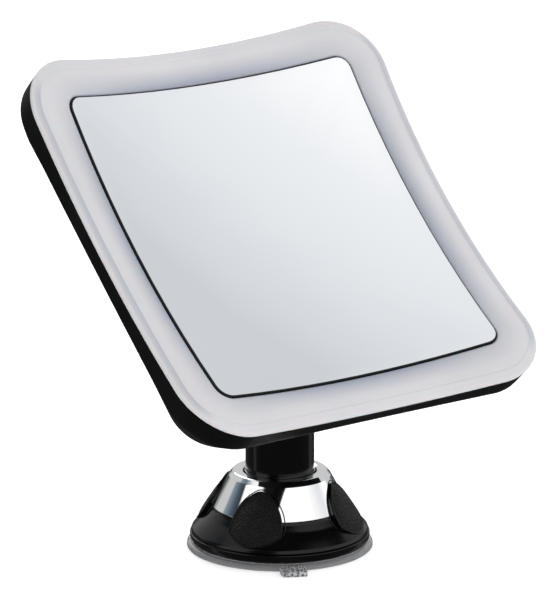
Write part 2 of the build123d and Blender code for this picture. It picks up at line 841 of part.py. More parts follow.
# switch_body and switch_slider: on-off switch beside the battery box
with BuildPart() as switch_body:
    with BuildSketch(face.offset(-back_depth + shell_wall)):
        with Locations((switch_x, box_centre)):
            Rectangle(*switch_body_size[:2])
    extrude(amount=switch_body_size[2])
save(switch_body.part, "switch_body")

slider_size = 4.4
slider_rest = box_centre - switch_travel / 2
with BuildPart() as switch_slider:
    with BuildSketch(face.offset(-back_depth + shell_wall - 0.3)):
        with Locations((switch_x, slider_rest)):
            Rectangle(slider_size, slider_size)
    extrude(amount=-(shell_wall + 1.3))
    fillet(switch_slider.edges().group_by(Axis(face.origin, normal))[0], 0.5)
save(switch_slider.part, "switch_slider")
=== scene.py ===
"""Looks of the lighted suction make-up mirror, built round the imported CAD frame.

Lengths are in millimetres until a mesh is made, and in metres from there on. A point on the
head is (x, y, w): across the face, up the face and out of the glass.
"""

import json
from math import asin, atan2, cos, hypot, pi, radians, sin, sqrt, tan

import bmesh
import bpy
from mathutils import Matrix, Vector


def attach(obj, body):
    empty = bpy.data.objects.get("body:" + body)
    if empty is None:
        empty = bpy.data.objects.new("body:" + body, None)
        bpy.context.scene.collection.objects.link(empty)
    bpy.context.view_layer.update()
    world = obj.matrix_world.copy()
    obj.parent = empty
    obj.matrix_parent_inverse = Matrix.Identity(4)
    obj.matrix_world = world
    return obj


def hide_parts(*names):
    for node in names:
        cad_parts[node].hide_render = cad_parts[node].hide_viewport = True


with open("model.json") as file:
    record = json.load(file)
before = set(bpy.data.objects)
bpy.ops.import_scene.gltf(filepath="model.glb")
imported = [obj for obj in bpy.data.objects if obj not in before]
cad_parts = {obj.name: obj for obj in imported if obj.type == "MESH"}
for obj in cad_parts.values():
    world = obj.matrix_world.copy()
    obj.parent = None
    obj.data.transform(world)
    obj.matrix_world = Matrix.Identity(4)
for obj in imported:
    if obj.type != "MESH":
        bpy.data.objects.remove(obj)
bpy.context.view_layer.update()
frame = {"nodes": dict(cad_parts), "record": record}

MM = 0.001

# ---- Driving dimensions, as in the CAD model ------------------------------------------------
DISC_RADIUS = 39.0
DISC_TOP = 2.4
TAB_BEARING = -30.7
TAB_WIDTH = 11.0
TAB_REACH = 46.5
FOOT_RADIUS = 37.7
FOOT_TOP = 6.4
POST_RADIUS = 9.97
POST_TOP = 44.0
RING_BOTTOM = 40.4
PIN_HEIGHT = 16.0
SKIRT_BOTTOM = 6.7
CHROME_BOTTOM = 17.7
CHROME_FOOT = 28.4
CHROME_SHOULDER = 21.3
SHOULDER_HEIGHT = 30.9
CHROME_TOP = 33.0
CHROME_HOLE = 15.4
CHROME_WALL = 1.4
PLATE_TOP = 31.0
PLATE_BOTTOM = 29.0
GRIP_BEARING = 32.0
GRIP_HALF_WIDTH = 11.8
GRIP_BOTTOM = 8.8
GRIP_TOP = 29.6
GRIP_LOW = (36.9, 8.0)
GRIP_HIGH = (22.3, 30.8)
NECK_RADIUS = 14.4
NECK_BORE = 12.2
NECK_BOTTOM = 31.3
SPRING_FLOOR = (54.9, 56.9)
CAP_BOTTOM = 78.9
BALL_HEIGHT = 87.9
BALL_RADIUS = 10.0
SLOT_HALF_WIDTH = 4.35
HEAD_LEAN = 44.5
BALL_BEHIND_HEAD = 36.0
BALL_BELOW_HEAD = 34.5
STUD_HOLE = 4.1
CORNER_CENTRE = 66.6
CORNER_RADIUS = 25.5
SIDE_REACH = 90.7
DISH_RADIUS = 454.5
DISH_DEPTH = 9.3
DIFFUSER_THICKNESS = 2.2
GLASS_HALF = 73.3
GLASS_CORNER = 6.0
GLASS_DISH_RADIUS = 400.0
GLASS_DISH_DEPTH = 9.03
GLASS_THICKNESS = 2.5
OPENING_HALF = 74.0
OPENING_CORNER = 6.7
SIDE_WALL_DEPTH = 10.7
BACK_DEPTH = 20.0
SHELL_WALL = 2.0
BOX_CENTRE = 31.0
BOX_WIDTH = 54.0
BOX_HEIGHT = 58.0
BOX_DEPTH = 28.0
BOX_WALL = 1.8
DOOR_WIDTH = 44.6
DOOR_HEIGHT = 49.6
SWITCH_X = 43.0

FLARE = [(37.3, SKIRT_BOTTOM), (36.7, 8.2), (34.0, 10.9), (30.7, 14.0), (28.7, 16.6)]

# ---- Frames ---------------------------------------------------------------------------------
lean = radians(HEAD_LEAN)
NORMAL = Vector((0, -cos(lean), sin(lean)))
RISE = Vector((0, sin(lean), cos(lean)))
ACROSS = Vector((1, 0, 0))
BALL_CENTRE = Vector((0, 0, BALL_HEIGHT))
HEAD_CENTRE = BALL_CENTRE + NORMAL * BALL_BEHIND_HEAD + RISE * BALL_BELOW_HEAD


def on_face(x, y, w):
    """Point of the head's own frame, in the row frame."""
    return HEAD_CENTRE + ACROSS * x + RISE * y + NORMAL * w


def round_axis(radius, bearing, z):
    """Point at a bearing, in radians from -Y towards +X, about the base's axis."""
    return Vector((radius * sin(bearing), -radius * cos(bearing), z))


# ---- Mesh helpers ---------------------------------------------------------------------------
def settle(mesh, merge=None):
    """Turn the faces outwards, after merging the points closer than `merge` metres."""
    edit = bmesh.new()
    edit.from_mesh(mesh)
    if merge:
        bmesh.ops.remove_doubles(edit, verts=edit.verts, dist=merge)
    bmesh.ops.recalc_face_normals(edit, faces=edit.faces)
    edit.to_mesh(mesh)
    edit.free()


def piece(name, points, faces, body, materials, nodes=(), face_material=None):
    """Make a mesh object from points in millimetres, and hang it on a CAD body."""
    mesh = bpy.data.meshes.new(name)
    mesh.from_pydata([tuple(Vector(p) * MM) for p in points], [], faces)
    mesh.validate()
    obj = bpy.data.objects.new(name, mesh)
    bpy.context.scene.collection.objects.link(obj)
    for material in materials:
        mesh.materials.append(material)
    if face_material:
        for polygon in mesh.polygons:
            polygon.material_index = face_material(polygon.index)
    settle(mesh, merge=1e-7)
    for polygon in mesh.polygons:
        polygon.use_smooth = True
    weigh = obj.modifiers.new("weighted_normals", "WEIGHTED_NORMAL")
    weigh.weight = 50
    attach(obj, body)
    if nodes:
        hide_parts(*nodes)
    return obj


def skin(loops, closed=False, cap_start=False, cap_end=False):
    """Points and faces of a surface through loops that all have the same number of points."""
    count = len(loops[0])
    points = [p for loop in loops for p in loop]
    faces = []
    spans = len(loops) if closed else len(loops) - 1
    for row in range(spans):
        low = row * count
        high = (row + 1) % len(loops) * count
        for i in range(count):
            j = (i + 1) % count
            faces.append((low + i, low + j, high + j, high + i))
    if cap_start:
        faces.append(tuple(range(count))[::-1])
    if cap_end:
        faces.append(tuple(range(len(points) - count, len(points))))
    return points, faces


def rounded(corners, closed=True, steps=6):
    """Profile with its corners rounded: each corner is (a, b) or (a, b, radius)."""
    path = []
    count = len(corners)
    for i, corner in enumerate(corners):
        here = Vector(corner[:2])
        radius = corner[2] if len(corner) > 2 else 0
        end = not closed and i in (0, count - 1)
        if radius <= 0 or end:
            path.append(tuple(here))
            continue
        before = (Vector(corners[i - 1][:2]) - here).normalized()
        after = (Vector(corners[(i + 1) % count][:2]) - here).normalized()
        half = before.angle(after) / 2
        reach = radius / tan(half)
        centre = here + (before + after).normalized() * (radius / sin(half))
        start = here + before * reach - centre
        finish = here + after * reach - centre
        angle = start.angle_signed(finish)
        for k in range(steps + 1):
            turn = -angle * k / steps
            path.append(
                (
                    centre.x + start.x * cos(turn) - start.y * sin(turn),
                    centre.y + start.x * sin(turn) + start.y * cos(turn),
                )
            )
    return path


def lathe(name, corners, body, materials, nodes=(), segments=192):
    """Solid of revolution about the base's axis, from a closed profile of (r, z) corners."""
    profile = rounded(corners)
    loops = [
        [round_axis(r, 2 * pi * k / segments, z) for k in range(segments)] for r, z in profile
    ]
    points, faces = skin(loops, closed=True)
    return piece(name, points, faces, body, materials, nodes)


def cut(obj, corners_2d, plane_point, plane_x, plane_y, depth):
    """Cut a prism out of a piece: a closed outline in a plane, swept both ways by depth."""
    normal = plane_x.cross(plane_y).normalized()
    loops = []
    for side in (-depth, depth):
        base = plane_point + normal * side
        loops.append([base + plane_x * a + plane_y * b for a, b in corners_2d])
    points, faces = skin(loops, cap_start=True, cap_end=True)
    mesh = bpy.data.meshes.new("cutter")
    mesh.from_pydata([tuple(Vector(p) * MM) for p in points], [], faces)
    cutter = bpy.data.objects.new("cutter", mesh)
    bpy.context.scene.collection.objects.link(cutter)
    settle(mesh)
    boolean = obj.modifiers.new("cut", "BOOLEAN")
    boolean.operation = "DIFFERENCE"
    boolean.solver = "EXACT"
    boolean.object = cutter
    bpy.context.view_layer.objects.active = obj
    while obj.modifiers[0] != boolean:
        bpy.ops.object.modifier_move_up(modifier=boolean.name)
    bpy.ops.object.modifier_apply(modifier=boolean.name)
    bpy.data.objects.remove(cutter)


def soften(obj, width, segments=3):
    """Round the sharp edges of a piece."""
    bevel = obj.modifiers.new("soft_edges", "BEVEL")
    bevel.width = width * MM
    bevel.segments = segments
    bevel.limit_method = "ANGLE"
    bevel.angle_limit = radians(35)
    bpy.context.view_layer.objects.active = obj
    bpy.ops.object.modifier_move_to_index(modifier=bevel.name, index=0)


def square_loop(centre, radius, reach, side_steps=28, corner_steps=14):
    """Rounded square outline; its sides pass through `reach` at their middles."""
    bow = centre + radius - reach
    quarter = []
    for k in range(side_steps):
        x = centre * (2 * k / side_steps - 1)
        quarter.append((x, reach + bow * (x / centre) ** 2))
    for k in range(corner_steps):
        angle = pi / 2 * (1 - k / corner_steps)
        quarter.append((centre + radius * cos(angle), centre + radius * sin(angle)))
    loop = list(quarter)
    for turn in range(3):
        quarter = [(y, -x) for x, y in quarter]
        loop += quarter
    return loop


def outer_loop(inset):
    """Outline of the head, moved inwards."""
    return square_loop(CORNER_CENTRE, CORNER_RADIUS - inset, SIDE_REACH - inset)


def glass_loop(growth, side_steps=28, corner_steps=14):
    """Outline of the glass, moved outwards."""
    centre = GLASS_HALF - GLASS_CORNER
    return square_loop(
        centre, GLASS_CORNER + growth, GLASS_HALF + growth, side_steps, corner_steps
    )


def between(loop_a, loop_b, share):
    """Outline part of the way from one loop to another."""
    return [
        (ax + (bx - ax) * share, ay + (by - ay) * share)
        for (ax, ay), (bx, by) in zip(loop_a, loop_b)
    ]


def dish(x, y):
    """Height of the light frame's front."""
    return DISH_RADIUS - DISH_DEPTH - sqrt(DISH_RADIUS**2 - x * x - y * y)


def glass_dish(x, y):
    """Height of the glass front."""
    radius = GLASS_DISH_RADIUS
    return radius - GLASS_DISH_DEPTH - sqrt(radius**2 - x * x - y * y)


def raised(loop, height):
    """Lay a loop on the head at a height given by a function of (x, y)."""
    return [on_face(x, y, height(x, y)) for x, y in loop]


def flat(loop, w):
    """Lay a loop flat on the head at one height."""
    return [on_face(x, y, w) for x, y in loop]


def rectangle_loop(cx, cy, half_x, half_y, radius, steps=6):
    """Rounded rectangle in the head's plane."""
    loop = []
    for quarter in range(4):
        sx = (1, 1, -1, -1)[quarter]
        sy = (1, -1, -1, 1)[quarter]
        for k in range(steps + 1):
            angle = pi / 2 - (quarter + k / steps) * pi / 2
            x = cx + sx * (half_x - radius) + radius * cos(angle)
            y = cy + sy * (half_y - radius) + radius * sin(angle)
            loop.append((x, y))
    return loop


# ---- Materials ------------------------------------------------------------------------------
class Nodes:
    """Short way to write a node material."""

    def __init__(self, name):
        self.material = bpy.data.materials.new(name)
        self.material.use_nodes = True
        self.tree = self.material.node_tree
        self.shader = self.tree.nodes["Principled BSDF"]
        self.where = self.add("ShaderNodeTexCoord").outputs["Object"]

    def add(self, kind, **values):
        node = self.tree.nodes.new(kind)
        for key, value in values.items():
            setattr(node, key, value)
        return node

    def link(self, source, target):
        self.tree.links.new(source, target)

    def set(self, **values):
        for key, value in values.items():
            self.shader.inputs[key.replace("_", " ")].default_value = value

    def noise(self, scale, detail=3.0, roughness=0.5):
        node = self.add("ShaderNodeTexNoise")
        node.inputs["Scale"].default_value = scale
        node.inputs["Detail"].default_value = detail
        node.inputs["Roughness"].default_value = roughness
        self.link(self.where, node.inputs["Vector"])
        return node.outputs["Fac"]

    def cells(self, scale, feature="F1"):
        node = self.add("ShaderNodeTexVoronoi", feature=feature)
        node.inputs["Scale"].default_value = scale
        self.link(self.where, node.inputs["Vector"])
        return node.outputs["Distance"]

    def spread(self, source, low, high, from_low=0.3, from_high=0.7):
        node = self.add("ShaderNodeMapRange")
        node.inputs["From Min"].default_value = from_low
        node.inputs["From Max"].default_value = from_high
        node.inputs["To Min"].default_value = low
        node.inputs["To Max"].default_value = high
        self.link(source, node.inputs["Value"])
        return node.outputs["Result"]

    def colours(self, source, first, second, from_low=0.3, from_high=0.7):
        node = self.add("ShaderNodeMix", data_type="RGBA")
        self.link(self.spread(source, 0, 1, from_low, from_high), node.inputs["Factor"])
        node.inputs[6].default_value = (*first, 1)
        node.inputs[7].default_value = (*second, 1)
        return node.outputs[2]

    def to_colour(self, source):
        self.link(source, self.shader.inputs["Base Color"])

    def to_roughness(self, source):
        self.link(source, self.shader.inputs["Roughness"])

    def bump(self, source, strength, distance, before=None):
        node = self.add("ShaderNodeBump")
        node.inputs["Strength"].default_value = strength
        node.inputs["Distance"].default_value = distance
        self.link(source, node.inputs["Height"])
        if before:
            self.link(before, node.inputs["Normal"])
        self.link(node.outputs["Normal"], self.shader.inputs["Normal"])
        return node.outputs["Normal"]


def plain_material(name, patches, colours, wear, roughness, bump=None, **shader):
    """Material of two close colours; `patches`, `wear` and `bump[0]` are arguments of noise."""
    m = Nodes(name)
    m.set(**shader)
    m.to_colour(m.colours(m.noise(*patches), *colours))
    m.to_roughness(m.spread(m.noise(*wear), *roughness))
    if bump:
        m.bump(m.noise(*bump[0]), *bump[1:])
    return m.material


def grip_material():
    m = Nodes("grained_rubber")
    m.set(IOR=1.28)
    grain = m.cells(1300)
    m.to_colour(m.colours(grain, (0.002, 0.002, 0.002), (0.008, 0.0075, 0.007), 0.1, 0.7))
    m.to_roughness(m.spread(grain, 0.5, 0.24, 0.1, 0.6))
    coarse = m.bump(m.noise(2000, 3, 0.6), 0.8, 0.0006)
    m.bump(grain, 0.75, 0.0005, before=coarse)
    return m.material


def frosted_material():
    m = Nodes("frosted_light_guide")
    m.set(IOR=1.49)
    m.set(Subsurface_Weight=0.3, Subsurface_Scale=0.004)
    cloudy = m.colours(m.noise(18, 2), (0.55, 0.545, 0.562), (0.59, 0.583, 0.598))
    # painted shade: the per-point weight blends the frosted colour towards a bluish grey, as shadow
    # next to the glass and on the side bevel bands
    painted_shade = m.add("ShaderNodeAttribute", attribute_name="painted_shade")
    darken = m.add("ShaderNodeMix", data_type="RGBA")
    m.link(painted_shade.outputs["Fac"], darken.inputs["Factor"])
    m.link(cloudy, darken.inputs[6])
    darken.inputs[7].default_value = (0.25, 0.28, 0.35, 1)
    m.to_colour(darken.outputs[2])
    m.to_roughness(m.spread(m.noise(1200, 3), 0.36, 0.5))
    m.bump(m.noise(3500, 2), 0.06, 0.00004)
    return m.material


def tab_material():
    m = Nodes("knurled_clear_plastic")
    m.set(IOR=1.6, Transmission_Weight=0.4)
    m.to_colour(m.colours(m.cells(700), (0.12, 0.12, 0.13), (0.80, 0.81, 0.82), 0.25, 0.65))
    m.to_roughness(m.spread(m.noise(900), 0.08, 0.2))
    m.bump(m.noise(900, 3), 0.3, 0.0004)
    return m.material


def lamp_material():
    m = Nodes("unlit_lamp")
    m.set(IOR=1.5)
    m.to_colour(m.colours(m.cells(2500), (0.85, 0.72, 0.28), (0.9, 0.84, 0.55)))
    m.to_roughness(m.spread(m.noise(900), 0.15, 0.25))
    return m.material


BLACK_GLOSS = plain_material(
    "polished_black_plastic", (60,), ((0.0012, 0.0012, 0.0014), (0.003, 0.003, 0.0034)),
    (900, 5, 0.7), (0.13, 0.24), ((180, 2), 0.04, 0.0004), IOR=1.46, Specular_IOR_Level=0.3,
)
BLACK_SATIN = plain_material(
    "satin_black_plastic", (45,), ((0.0012, 0.0012, 0.0013), (0.003, 0.003, 0.0032)),
    (500, 4), (0.34, 0.46), ((4200, 2), 0.12, 0.00005), IOR=1.4, Specular_IOR_Level=0.2,
)
GRIP = grip_material()
GASKET = plain_material(
    "black_gasket", (400,), ((0.002, 0.002, 0.0022), (0.005, 0.005, 0.0055)),
    (1500,), (0.45, 0.6), IOR=1.3,
)
FROSTED = frosted_material()
MIRROR = plain_material(
    "silvered_glass", (25,), ((0.93, 0.945, 0.955), (0.95, 0.96, 0.965)),
    (300, 4, 0.7), (0.004, 0.02), Metallic=1.0,
)
GLASS_EDGE = plain_material(
    "painted_glass_edge", (200,), ((0.01, 0.012, 0.012), (0.02, 0.024, 0.024)),
    (800,), (0.2, 0.35), IOR=1.5,
)
CHROME = plain_material(
    "chrome_plating", (35,), ((0.86, 0.87, 0.88), (0.9, 0.905, 0.91)),
    (700, 4, 0.7), (0.03, 0.07), ((120, 1), 0.03, 0.0003), Metallic=1.0,
)
CLEAR = plain_material(
    "clear_soft_plastic", (80,), ((0.82, 0.83, 0.85), (0.92, 0.93, 0.94)),
    (400,), (0.1, 0.22), ((260, 3), 0.15, 0.0004), IOR=1.46, Transmission_Weight=0.80,
)
TAB = tab_material()
STEEL = plain_material(
    "plain_steel", (90,), ((0.5, 0.5, 0.51), (0.62, 0.62, 0.63)),
    (1100, 5, 0.7), (0.2, 0.36), Metallic=1.0,
)
BRASS = plain_material(
    "spring_brass", (120,), ((0.7, 0.52, 0.24), (0.8, 0.62, 0.32)),
    (900,), (0.22, 0.36), Metallic=1.0,
)
WHITE = plain_material(
    "natural_white_plastic", (40,), ((0.72, 0.72, 0.70), (0.8, 0.8, 0.78)),
    (600,), (0.4, 0.55), IOR=1.46,
)
BOARD = plain_material(
    "white_circuit_board", (70,), ((0.8, 0.8, 0.76), (0.86, 0.86, 0.83)),
    (500,), (0.25, 0.4), IOR=1.5,
)
LAMP = lamp_material()
CELL = plain_material(
    "battery_sleeve", (50,), ((0.05, 0.055, 0.065), (0.1, 0.105, 0.12)),
    (300,), (0.25, 0.38), Metallic=0.6,
)

NODE_MATERIALS = {
    "clear_soft_plastic": CLEAR,
    "black_gloss": BLACK_GLOSS,
    "black_satin": BLACK_SATIN,
    "grip_rubber": GRIP,
    "gasket_rubber": GASKET,
    "chrome": CHROME,
    "steel": STEEL,
    "frosted_plastic": FROSTED,
    "mirror_glass": MIRROR,
    "white_plastic": WHITE,
    "circuit_board": BOARD,
    "led": LAMP,
    "battery_sleeve": CELL,
    "brass": BRASS,
}


def dress_cad_nodes():
    """Give every CAD node the material of its slot."""
    for part in frame["record"]["subparts"]:
        node = frame["nodes"][part["node"]]
        material = NODE_MATERIALS[part["material_slot"]]
        if not node.material_slots:
            node.data.materials.append(material)
        for held in node.material_slots:
            held.material = material


# ---- Head -----------------------------------------------------------------------------------
def make_glass():
    """Concave pane with a ground edge; both of its faces are dished."""
    front_rings = 15
    back_rings = 6
    side_steps = 10
    corner_steps = 5
    edge = 0.35
    first_angle = 2 * pi / 3

    def back(x, y):
        return glass_dish(x, y) - GLASS_THICKNESS

    def ring(growth, share):
        """Outline shrunk to a share of its size, rounder the smaller it gets."""
        outline = glass_loop(growth, side_steps, corner_steps)
        size = len(outline)
        loop = []
        for i, (x, y) in enumerate(outline):
            angle = first_angle - 2 * pi * i / size
            circle = GLASS_HALF * cos(angle), GLASS_HALF * sin(angle)
            loop.append(
                (
                    share * (circle[0] + (x - circle[0]) * share),
                    share * (circle[1] + (y - circle[1]) * share),
                )
            )
        return loop

    loops = []
    for k in range(1, back_rings + 1):
        loops.append(raised(ring(0, k / back_rings), back))
    loops.append(raised(ring(0, 1), lambda x, y: glass_dish(x, y) - edge))
    loops.append(raised(ring(-edge * 0.35, 1), lambda x, y: glass_dish(x, y) - edge * 0.3))
    for k in range(front_rings):
        loops.append(raised(ring(-edge, 1 - k / front_rings), glass_dish))
    points, faces = skin(loops)
    count = len(loops[0])
    middle = len(points)
    last = middle - count
    points.append(on_face(0, 0, glass_dish(0, 0)))
    points.append(on_face(0, 0, back(0, 0)))
    edge_faces = (back_rings + 2) * count
    faces += [(last + i, last + (i + 1) % count, middle) for i in range(count)]
    silvered = len(faces)
    faces += [((i + 1) % count, i, middle + 1) for i in range(count)]

    def kind(index):
        return 0 if edge_faces <= index < silvered else 1

    return piece(
        "concave_pane", points, faces, "head", [MIRROR, GLASS_EDGE],
        ["mirror_glass"], kind,
    )


def make_gasket():
    """Black lip round the glass, standing a little proud of the light frame."""
    def height(drop):
        return lambda x, y: glass_dish(x, y) - drop

    # growth beyond the glass, depth below its front
    profile = [
        (0.02, 2.4), (0.02, 0.50), (0.10, 0.45), (0.28, 0.50), (0.45, 0.75), (0.55, 1.2), (0.55, 2.4)
    ]
    loops = [raised(glass_loop(growth), height(drop)) for growth, drop in profile]
    points, faces = skin(loops, closed=True)
    return piece(
        "glass_gasket", points, faces, "head", [GASKET], ["mirror_gasket"]
    )


def make_light_frame():
    """Frosted frame: cove against the glass, dished front, bevel band, rolled outer edge, with a
    painted shade weight next to the glass and on the side bevel bands.
    """
    inner = square_loop(OPENING_HALF - OPENING_CORNER, OPENING_CORNER, OPENING_HALF)
    crease_inset = 4.4
    crease = outer_loop(crease_inset)
    front_steps = 16

    def inner_height(x, y):
        return glass_dish(x, y) - 0.7

    def front(share):
        """Front surface from the glass (0) to the crease (1)."""
        loop = between(inner, crease, share)
        heights = []
        for (x, y), (ix, iy), (cx, cy) in zip(loop, inner, crease):
            low = inner_height(ix, iy)
            high = dish(cx, cy)
            heights.append(low + (high - low) * share + 0.7 * sin(pi * share) ** 0.8)
        return loop, heights

    loops = []
    # painted shade weight for each point: 1 darkens fully, 0 leaves the frosted colour
    painted_shades = []

    def lay(loop, heights, painted_shade):
        loops.append([on_face(x, y, w) for (x, y), w in zip(loop, heights)])
        painted_shades.append(painted_shade)

    def at(loop, height):
        return [height(x, y) for x, y in loop]

    def mid_side(loop):
        """1 at the middle of a side, 0 at its ends."""
        most = max(x for x, y in loop)
        return [1 - min(1, (min(abs(x), abs(y)) / most) ** 2) for x, y in loop]

    # painted shadow next to the glass: full on the inner wall, 0.7 on the lip, then fading out over
    # the first three quarters of the front, strongest at the middle of each side
    lay(inner, at(inner, lambda x, y: inner_height(x, y) - 2.0), [1] * len(inner))
    lay(inner, at(inner, lambda x, y: inner_height(x, y) - 0.3), [1] * len(inner))
    lip = between(inner, crease, 0.015)
    lay(lip, at(inner, lambda x, y: inner_height(x, y) - 0.05), [0.7] * len(inner))
    for k in range(1, front_steps + 1):
        share = k / front_steps
        loop, heights = front(share)
        fade = max(0, 1 - share / 0.75) ** 1.3
        lay(loop, heights, [fade * (0.2 + 0.8 * m) for m in mid_side(loop)])
    # inset from the outline, height above the dish, painted shade
    bevel = [
        (crease_inset - 0.15, 0.16, 0.0),
        (crease_inset - 0.4, 0.17, 0.0),
        (crease_inset - 0.65, 0.0, 0.5),
        (2.6, -0.42, 0.4),
        (1.3, -0.80, 0.25),
        (0.75, -1.0, 0.0),
        (0.3, -1.3, 0.0),
        (0.05, -1.75, 0.0),
        (0.0, -2.3, 0.0),
        (0.0, -DIFFUSER_THICKNESS - 0.6, 0.0),
        (1.6, -DIFFUSER_THICKNESS - 0.6, 0.0),
    ]
    # painted shade on the bevel band, on the left and right sides only
    for inset, drop, painted_shade in bevel:
        loop = outer_loop(inset)
        upright = [min(1, max(0, (abs(x) - abs(y)) / 12)) for x, y in loop]
        lay(loop, at(loop, lambda x, y: dish(x, y) + drop), [painted_shade * u for u in upright])
    points, faces = skin(loops, closed=True)
    values = [s for row in painted_shades for s in row]
    mesh = piece(
        "light_frame", points, faces, "head", [FROSTED], ["diffuser_frame"]
    )
    # store the painted shade weight for the frosted material
    attribute = mesh.data.attributes.new("painted_shade", "FLOAT", "POINT")
    attribute.data.foreach_set("value", values)
    return mesh


def make_housing():
    """Black pan: upright wall, rounded turn, sloped edge and flat back with the stud's hole."""
    def rim(drop):
        return lambda x, y: dish(x, y) - drop

    def lower_edge(x, y):
        """The wall's lower edge follows the dish a little less than the rim does."""
        return -SIDE_WALL_DEPTH + 0.45 * (dish(x, y) - dish(SIDE_REACH, 0))

    def turn(share, lift):
        """Between the wall's lower edge and the back, with rounding."""
        def height(x, y):
            return lower_edge(x, y) * (1 - share) - BACK_DEPTH * share + lift
        return height

    start = DIFFUSER_THICKNESS + 0.62
    loops = [
        raised(outer_loop(2.0), rim(start + 1.5)),
        raised(outer_loop(2.0), rim(start)),
        raised(outer_loop(0.35), rim(start)),
        raised(outer_loop(0.12), rim(start + 0.15)),
        raised(outer_loop(0.05), rim(start + 0.45)),
    ]
    for k in range(1, 8):
        share = k / 8

        def wall(x, y, share=share):
            return rim(start + 0.45)(x, y) * (1 - share) + (lower_edge(x, y) + 1.6) * share

        loops.append(raised(outer_loop(0.05 + 0.2 * share), wall))
    loops += [
        raised(outer_loop(0.28), lambda x, y: lower_edge(x, y) + 1.5),
        raised(outer_loop(0.5), lambda x, y: lower_edge(x, y) + 0.7),
        raised(outer_loop(1.05), lambda x, y: lower_edge(x, y) - 0.1),
        raised(outer_loop(1.9), turn(0.10, 0.1)),
        raised(outer_loop(3.6), turn(0.30, 0.0)),
        raised(outer_loop(6.0), turn(0.58, 0.0)),
        raised(outer_loop(8.0), turn(0.80, 0.0)),
        raised(outer_loop(9.4), turn(0.925, -0.05)),
        raised(outer_loop(10.8), turn(0.985, -0.05)),
        flat(outer_loop(12.2), -BACK_DEPTH),
        flat(outer_loop(13.5), -BACK_DEPTH),
    ]
    outer = outer_loop(13.5)
    hole = []
    for x, y in outer:
        angle = atan2(y + BALL_BELOW_HEAD, x)
        hole.append((STUD_HOLE * cos(angle), STUD_HOLE * sin(angle) - BALL_BELOW_HEAD))

    def grown(loop, growth):
        return [
            (x * (1 + growth / STUD_HOLE), (y + BALL_BELOW_HEAD) * (1 + growth / STUD_HOLE)
             - BALL_BELOW_HEAD)
            for x, y in loop
        ]

    for share in (0.25, 0.5, 0.75):
        loops.append(flat(between(outer, grown(hole, 9), share), -BACK_DEPTH))
    loops += [
        flat(grown(hole, 8.2), -BACK_DEPTH),
        flat(grown(hole, 7.9), -BACK_DEPTH + 0.12),
        flat(grown(hole, 7.6), -BACK_DEPTH),
        flat(grown(hole, 0.3), -BACK_DEPTH),
        flat(hole, -BACK_DEPTH + 0.3),
        flat(hole, -BACK_DEPTH + SHELL_WALL + 0.6),
        flat(grown(hole, 4.8), -BACK_DEPTH + SHELL_WALL + 0.6),
        flat(grown(hole, 5.0), -BACK_DEPTH + SHELL_WALL),
        flat(between(outer, hole, 0.5), -BACK_DEPTH + SHELL_WALL),
        flat(outer_loop(14.0), -BACK_DEPTH + SHELL_WALL),
        raised(outer_loop(2.2), lambda x, y: lower_edge(x, y) + 0.6),
    ]
    points, faces = skin(loops, closed=True)
    return piece(
        "housing_shell", points, faces, "head", [BLACK_SATIN], ["rear_housing"]
    )


def box_ring(half_x, half_y, radius, w):
    """Rounded rectangle on the centre of the battery box, at one height."""
    return flat(rectangle_loop(0, BOX_CENTRE, half_x, half_y, radius, 8), w)


def make_battery_box():
    """Raised box on the back, drafted and rounded, with the opening for the lid."""
    half_x = BOX_WIDTH / 2
    half_y = BOX_HEIGHT / 2
    draft = tan(radians(6))
    base = -BACK_DEPTH + 0.5
    tall = BOX_DEPTH - BACK_DEPTH + 0.5

    def ring(inset, w, radius):
        return box_ring(half_x - inset, half_y - inset, radius, w)

    loops = [
        ring(1.8, base, 3.5),
        ring(-0.9, base, 6.2),
        ring(-0.9, -BACK_DEPTH - 0.02, 6.2),
        ring(-0.35, -BACK_DEPTH - 0.25, 5.7),
        ring(0.05, -BACK_DEPTH - 0.7, 5.3),
    ]
    for k in range(1, 5):
        drop = 0.7 + (tall - 0.5 - 0.7 - 1.4) * k / 4
        loops.append(ring(0.05 + drop * draft, -BACK_DEPTH - drop, 5))
    top_inset = 0.05 + (tall - 2.6) * draft
    loops += [
        ring(top_inset + 0.12, -BOX_DEPTH + 0.8, 5),
        ring(top_inset + 0.42, -BOX_DEPTH + 0.32, 4.8),
        ring(top_inset + 0.9, -BOX_DEPTH + 0.06, 4.5),
        ring(top_inset + 1.4, -BOX_DEPTH, 4.2),
    ]
    gap = 0.3
    door_x = DOOR_WIDTH / 2 + gap
    door_y = DOOR_HEIGHT / 2 + gap

    def mouth(shrink, w, radius):
        return box_ring(door_x - shrink, door_y - shrink, radius, w)

    loops += [
        mouth(-0.25, -BOX_DEPTH, 2.5),
        mouth(-0.07, -BOX_DEPTH + 0.07, 2.4),
        mouth(0, -BOX_DEPTH + 0.3, 2.3),
        mouth(0, -BOX_DEPTH + BOX_WALL, 2.3),
        ring(2.4, -BOX_DEPTH + BOX_WALL, 3.2),
    ]
    points, faces = skin(loops, closed=True)
    return piece("battery_box", points, faces, "head", [BLACK_SATIN])


